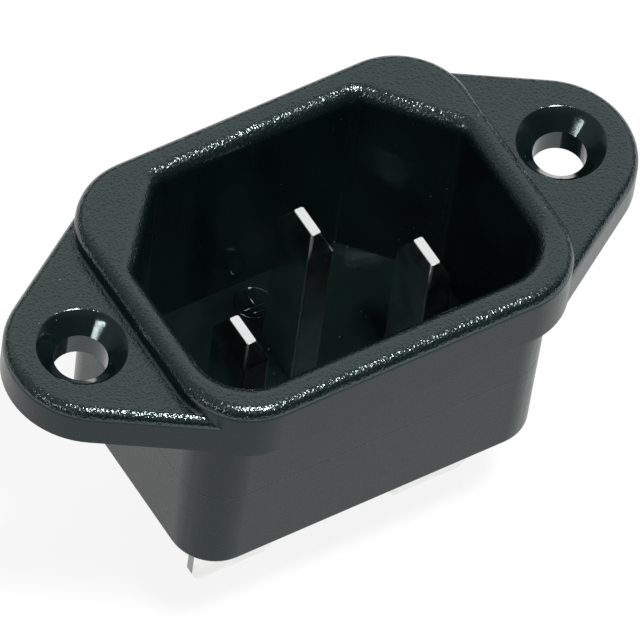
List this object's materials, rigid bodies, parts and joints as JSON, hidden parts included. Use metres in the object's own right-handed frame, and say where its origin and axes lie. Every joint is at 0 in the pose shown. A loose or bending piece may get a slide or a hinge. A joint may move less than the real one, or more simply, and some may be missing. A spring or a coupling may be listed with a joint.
{
  "type": "panel inlet socket",
  "caption": "Screw-flange C14 panel inlet: a moulded black housing with a cut-cornered mouth, flat plated contact pins inside and quick-connect tabs behind.",
  "frame": {"origin": "midway between the two screw holes, in the plane where the flange bears on the panel", "axes": "+Z out of the mouth towards the mating connector, +X from the line contact's screw hole to the neutral contact's, +Y towards the mouth's two cut corners"},
  "size_m": [0.0464, 0.0224, 0.0265],
  "materials": {
    "moulding": "fine spark-eroded texture on flange, collar and body, smooth inside",
    "contact_plating": "bright nickel plate over brass",
    "tab_plating": "bright nickel plate over brass, stamped edges"
  },
  "bodies": {
    "root": {"housing": "moulding", "line_pin": "contact_plating", "neutral_pin": "contact_plating", "earth_pin": "contact_plating", "line_tab": "tab_plating", "neutral_tab": "tab_plating", "earth_tab": "tab_plating"}
  },
  "joints": []
}
